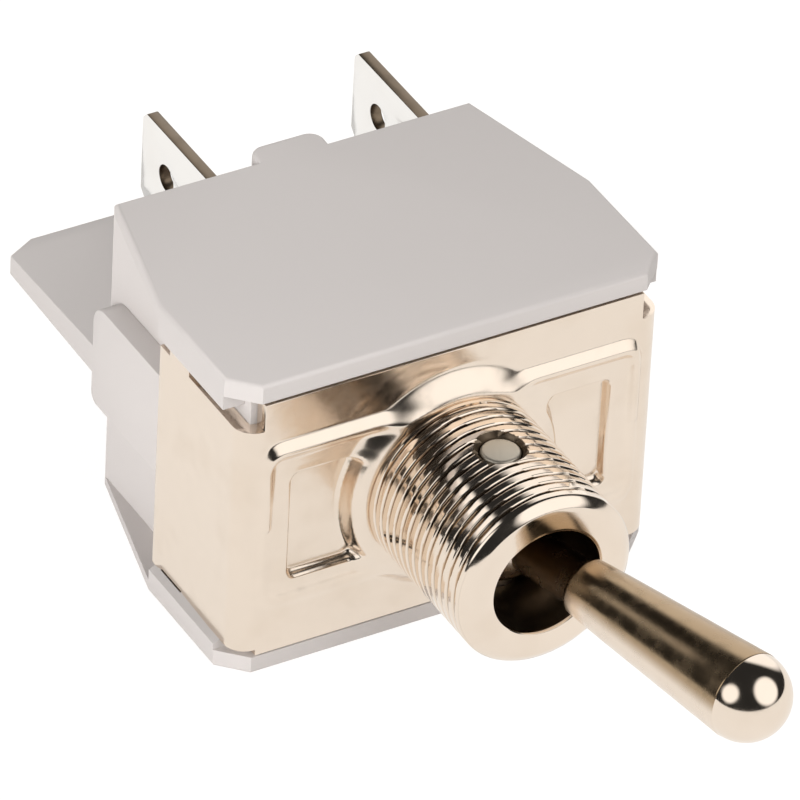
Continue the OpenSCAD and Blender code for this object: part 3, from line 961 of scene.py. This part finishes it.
@dataclass(frozen=True)
class Lever:
    """The turned lever: ball, neck, shoulder, widening handle and rounded tip."""

    ball: float = 3.3 * MM
    neck: float = 1.5 * MM
    root: float = 1.87 * MM
    root_reach: float = 7.55 * MM
    shoulder: float = 0.4 * MM
    tip: float = 2.8 * MM
    reach: float = 21.39 * MM
    tail: float = 11.6 * MM
    swell: float = 0.03 * MM
    foot_gap: float = 0.05 * MM
    tail_edge: float = 0.15 * MM
    round_steps: int = 24
    shoulder_steps: int = 6
    sides: int = 128

    def profile(self) -> Profile:
        """Radius and reach along the lever's axis, from the tail to the tip."""
        points = [
            (0.0, -self.tail),
            (self.neck - self.tail_edge, -self.tail),
            (self.neck, -self.tail + self.tail_edge),
        ]
        start = math.asin(self.neck / self.ball)
        for i in range(self.round_steps + 1):
            turn = start + (math.pi - 2 * start) * i / self.round_steps
            points.append((self.ball * math.sin(turn), -self.ball * math.cos(turn)))
        foot = self.root_reach - self.foot_gap
        points.append((self.neck, foot - 0.1 * MM))
        points.append((self.neck + 0.03 * MM, foot - 0.03 * MM))
        for i in range(self.shoulder_steps + 1):
            turn = math.pi / 2 * i / self.shoulder_steps
            radius = self.root - self.shoulder * (1 - math.sin(turn))
            points.append((radius, foot + self.shoulder * (1 - math.cos(turn))))
        widest = self.tip + self.swell
        for share in (0.25, 0.5, 0.75):
            radius = self.root + (widest - self.root) * share
            points.append((radius, foot + (self.reach - foot) * share))
        points.append((widest, self.reach - 0.1 * MM))
        points.append((self.tip + 0.02 * MM, self.reach - 0.02 * MM))
        for i in range(self.round_steps + 1):
            turn = math.pi / 2 * i / self.round_steps
            points.append((self.tip * math.cos(turn), self.reach + self.tip * math.sin(turn)))
        return points

    def build(self) -> None:
        """Spins the profile and lays the lever in its rest position."""
        swing = next(joint for joint in frame["joints"] if joint["name"] == "lever_swing")
        tilt = -math.radians(swing["range_deg"][0]) / 2
        pivot = Vector(swing["pos_m"])

        def point(r: float, reach: float, angle: float) -> Vector:
            """Point of the surface, with the lever along the bushing."""
            return Vector((r * math.cos(angle), -reach, r * math.sin(angle)))

        piece = turned_piece("lever_body", self.profile(), self.sides, point)
        piece.data.transform(Matrix.Translation(pivot) @ Matrix.Rotation(tilt, 4, "Z"))
        smooth(piece, 38)
        settle(piece, Body.LEVER, "plated_turned", NICKEL_LEVER, "lever")
        piece.data.materials.append(NICKEL_TURNED.material())
        axis = Matrix.Rotation(tilt, 3, "Z") @ Vector((0, -1, 0))
        for face in piece.data.polygons:
            if (face.center - pivot).dot(axis) > self.reach:
                face.material_index = 1


# ---------------------------------------------------------------- case


@dataclass(frozen=True)
class Case:
    """The two case halves and the separator, with moulded edges."""

    edge: float = 0.28 * MM
    small_edge: float = 0.1 * MM
    skirt_rise: float = 2.05 * MM
    skirt_cut: float = 0.4 * MM
    skirt_slant: float = 0.35 * MM
    skirt_depth: float = 1.0 * MM
    skirt_back: float = 11.0 * MM
    lug_start: float = 12.5 * MM
    barrier_tail: float = 2.5 * MM
    close: float = 0.02 * MM

    def half(self, node: str, name: str, side: int) -> None:
        """Dresses one case half.

        Args:
            node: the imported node.
            name: the piece's name.
            side: 1 for the upper half, -1 for the lower.
        """
        low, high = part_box(node)
        face = high.z if side > 0 else low.z
        piece = copy_of_node(node, name)
        if side < 0:
            self.shorten_skirt(piece, low)

        def on_cover(middle: Vector) -> bool:
            """The outline of the cover's outer face."""
            return abs(middle.z - face) < self.close

        soften(piece, self.edge, on_cover, 4)
        smooth(piece, 32)
        settle(piece, Body.CASE, "grey_plastic", GREY_PLASTIC, node)

    def shorten_skirt(self, piece: bpy.types.Object, low: Vector) -> None:
        """Moves the lower skirt's rim down to the wing's edge and slants it outwards.

        Args:
            piece: the lower case half.
            low: the low corner of its box.
        """
        rim = low.z + self.skirt_rise
        for vertex in piece.data.vertices:
            point = vertex.co
            beside = abs(point.x) > -low.x - self.skirt_depth and point.y < self.skirt_back
            if beside and rim < point.z < rim + self.skirt_cut:
                outer = abs(point.x) > -low.x - 0.05 * MM
                point.z = rim - self.skirt_slant if outer else rim

    def divider(self) -> None:
        """Dresses the separator with its lugs and barrier."""
        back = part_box("separator")[1].y
        piece = copy_of_node("separator", "separator_body")

        def outside(middle: Vector) -> bool:
            """Edges of the lugs and of the barrier's back."""
            return abs(middle.x) > self.lug_start or middle.y > back - self.barrier_tail

        soften(piece, self.small_edge, outside, 2)
        smooth(piece, 32)
        settle(piece, Body.CASE, "grey_plastic", GREY_PLASTIC, "separator")

    def build(self) -> None:
        """Dresses the three pieces."""
        self.half("case_upper", "upper_shell", 1)
        self.half("case_lower", "lower_shell", -1)
        self.divider()


# ---------------------------------------------------------------- terminals and hidden pieces


@dataclass(frozen=True)
class Terminals:
    """The four stamped terminals with eased edges."""

    edge: float = 0.07 * MM
    eased_inside: float = 4 * MM
    dark_edge_outside: float = 5 * MM
    side_facing: float = 0.8

    def blade(self, node: str, name: str) -> None:
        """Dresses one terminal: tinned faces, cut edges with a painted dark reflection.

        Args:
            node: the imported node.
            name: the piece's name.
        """
        piece = copy_of_node(node, name)
        case_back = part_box("case_upper")[1].y

        def outside(middle: Vector) -> bool:
            """Edges of the blade near and behind the case's back."""
            return middle.y > case_back - self.eased_inside

        soften(piece, self.edge, outside, 2)
        smooth(piece, 35)
        settle(piece, Body.CASE, "terminal_metal", TINNED, node)
        # Painted reflection: the cut edges well behind the case get the dark colour.
        piece.data.materials.append(EDGE_DARK_REFLECTION.material())
        points = piece.data.vertices
        for face in piece.data.polygons:
            reach = max(points[i].co.y for i in face.vertices)
            if abs(face.normal.x) < self.side_facing and reach > case_back + self.dark_edge_outside:
                face.material_index = 1

    def build(self) -> None:
        """Dresses each terminal."""
        for pole in ("upper", "lower"):
            for kind in ("common", "switched"):
                self.blade(f"{pole}_{kind}_terminal", f"{pole}_{kind}_blade")


@dataclass(frozen=True)
class HiddenPieces:
    """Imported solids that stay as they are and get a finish."""

    def build(self) -> None:
        """Puts each hidden node's finish on it."""
        finishes: dict[str, Finish] = {"actuator": BLACK_PLASTIC}
        for pole in ("upper", "lower"):
            finishes[f"{pole}_rocker"] = COPPER
            finishes[f"{pole}_moving_contact"] = SILVER
            finishes[f"{pole}_fixed_contact"] = SILVER
            finishes[f"{pole}_plunger"] = PALE_PLASTIC
            finishes[f"{pole}_spring"] = WIRE
        for node, finish in finishes.items():
            solid = frame["nodes"][node]
            solid.data.materials.clear()
            solid.data.materials.append(finish.material())
            log.info("%s: finished", node)


# ---------------------------------------------------------------- studio


@dataclass(frozen=True)
class SoftBox:
    """A soft light panel on the studio's dome: a round patch in one direction.

    Attributes:
        direction: where it hangs, seen from the switch.
        inner: angle in degrees inside which it is full.
        outer: angle in degrees past which it is gone.
        strength: its brightness.
    """

    direction: Triple
    inner: float
    outer: float
    strength: float

    def patch(self, nodes: Nodes, place: bpy.types.NodeSocket) -> bpy.types.NodeSocket:
        """Brightness of the panel over the dome.

        Args:
            nodes: the world's node tree.
            place: the direction on the dome.

        Returns:
            The brightness in that direction.
        """
        dot = nodes.node("ShaderNodeVectorMath", operation="DOT_PRODUCT")
        nodes.join(place, dot.inputs[0])
        dot.inputs[1].default_value = Vector(self.direction).normalized()
        edge = math.cos(math.radians(self.outer))
        core = math.cos(math.radians(self.inner))
        return nodes.remap(dot.outputs["Value"], edge, core, 0, self.strength)


@dataclass(frozen=True)
class Lamp:
    """A soft lamp that lights matte surfaces only.

    Attributes:
        name: the lamp's name.
        place: where it hangs; it looks at the switch.
        size: width of its square panel.
        power: its power in watts.
    """

    name: str
    place: Triple
    size: float
    power: float

    def build(self) -> None:
        """Hangs the lamp."""
        data = bpy.data.lights.new(self.name, "AREA")
        data.size = self.size
        data.energy = self.power
        lamp = bpy.data.objects.new(self.name, data)
        bpy.context.scene.collection.objects.link(lamp)
        lamp.location = self.place
        lamp.rotation_euler = Vector(self.place).to_track_quat("Z", "Y").to_euler()
        lamp.visible_glossy = False
        lamp.visible_camera = False


@dataclass(frozen=True)
class Studio:
    """Floor, dome light, lamps and camera."""

    azimuth: float = -31.109
    elevation: float = 36.638
    roll: float = 3.116
    distance: float = 658.3 * MM
    lens: float = 495.87
    target: Triple = (-3.767 * MM, 1.0 * MM, 6.83 * MM)
    floor_gap: float = 0.02 * MM
    floor_size: float = 1.6
    floor_colour: Colour = (0.86, 0.85, 0.84)
    floor_glow: Colour = (1, 0.99, 0.975)
    floor_glow_share: float = 0.82
    mirrored_glow: float = 0.99
    seen_glow: float = 1.15
    dome_colour: Colour = (1, 0.99, 0.98)
    ambient: float = 0.025
    panels: tuple[SoftBox, ...] = (
        SoftBox((-0.51, 0.69, 0.51), 9, 14, 1.15),
        SoftBox((0.63, 0.69, 0.36), 24, 38, 1.15),
        SoftBox((0.45, -0.70, 0.55), 26, 36, 1.2),
        SoftBox((-0.85, -0.15, 0.50), 16, 26, 1.2),
    )
    lamps: tuple[Lamp, ...] = (
        Lamp("key_lamp", (-0.58, -0.25, 0.2), 0.3, 3.4),
        Lamp("front_lamp", (0.1, -0.6, 0.3), 0.3, 0.9),
        Lamp("top_lamp", (0.12, 0.1, 0.6), 0.4, 1.0),
    )

    def camera(self) -> None:
        """Makes the camera at the fitted viewpoint."""
        a = math.radians(self.azimuth)
        e = math.radians(self.elevation)
        r = math.radians(self.roll)
        back = Vector((math.sin(a) * math.cos(e), -math.cos(a) * math.cos(e), math.sin(e)))
        right = Vector((math.cos(a), math.sin(a), 0))
        up = back.cross(right)
        turned_right = right * math.cos(r) + up * math.sin(r)
        turned_up = up * math.cos(r) - right * math.sin(r)
        data = bpy.data.cameras.new("camera")
        data.lens = self.lens
        data.sensor_width = 36
        data.clip_start = 0.05
        data.clip_end = 10
        camera = bpy.data.objects.new("camera", data)
        bpy.context.scene.collection.objects.link(camera)
        turn = Matrix((turned_right, turned_up, back)).transposed().to_4x4()
        camera.matrix_world = Matrix.Translation(Vector(self.target) + back * self.distance) @ turn
        bpy.context.scene.camera = camera

    def floor(self) -> None:
        """Makes the pale floor: white to the camera and in mirrors, with the shadow kept."""
        deselect_all()
        bpy.ops.mesh.primitive_plane_add(size=self.floor_size)
        floor = bpy.context.object
        floor.name = "floor"
        floor.data.transform(Matrix.Translation((0, 0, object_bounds()[0].z - self.floor_gap)))
        shader = Shader("floor_white")
        surface = shader.surface
        surface.inputs["Base Color"].default_value = (*self.floor_colour, 1)
        surface.inputs["Roughness"].default_value = 0.9
        surface.inputs["Specular IOR Level"].default_value = 0.1
        path = shader.node("ShaderNodeLightPath")
        by_camera = path.outputs["Is Camera Ray"]
        seen = shader.calculate("MAXIMUM", by_camera, path.outputs["Is Glossy Ray"])
        glow = shader.node("ShaderNodeEmission")
        glow.inputs["Color"].default_value = (*self.floor_glow, 1)
        level = shader.remap(by_camera, 0, 1, self.mirrored_glow, self.seen_glow)
        shader.join(level, glow.inputs["Strength"])
        share = shader.calculate("MULTIPLY", seen, self.floor_glow_share)
        mixed = shader.mix_shaders(share, surface.outputs["BSDF"], glow.outputs["Emission"])
        shader.join(mixed, shader.output.inputs["Surface"])
        floor.data.materials.append(shader.material)
        floor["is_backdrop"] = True

    def dome(self) -> None:
        """Lights the scene from soft panels on a dim dome; the camera sees white."""
        world = bpy.data.worlds.new("studio")
        bpy.context.scene.world = world
        world.use_nodes = True
        nodes = Nodes(world.node_tree)
        nodes.tree.nodes.clear()
        place = nodes.node("ShaderNodeTexCoord").outputs["Generated"]
        level: bpy.types.NodeSocket | float = self.ambient
        for panel in self.panels:
            level = nodes.calculate("MAXIMUM", panel.patch(nodes, place), level)
        studio = nodes.node("ShaderNodeBackground")
        studio.inputs["Color"].default_value = (*self.dome_colour, 1)
        nodes.join(level, studio.inputs["Strength"])
        white = nodes.node("ShaderNodeBackground")
        white.inputs["Color"].default_value = (1, 1, 1, 1)
        by_camera = nodes.node("ShaderNodeLightPath").outputs["Is Camera Ray"]
        lit = studio.outputs["Background"]
        mixed = nodes.mix_shaders(by_camera, lit, white.outputs["Background"])
        output = nodes.node("ShaderNodeOutputWorld")
        nodes.join(mixed, output.inputs["Surface"])

    def build(self) -> None:
        """Makes the studio."""
        self.camera()
        self.floor()
        self.dome()
        for lamp in self.lamps:
            lamp.build()
        bpy.context.scene.view_settings.view_transform = "Standard"
        log.info("studio: ready")


def main() -> None:
    """Builds every piece in order."""
    logging.basicConfig(level=logging.INFO, format="%(message)s")
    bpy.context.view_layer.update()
    Studio().build()
    MountingFrame().build()
    Bushing().build()
    PivotPin().build()
    Lever().build()
    Case().build()
    Terminals().build()
    HiddenPieces().build()
    deselect_all()


if __name__ == "__main__":
    main()
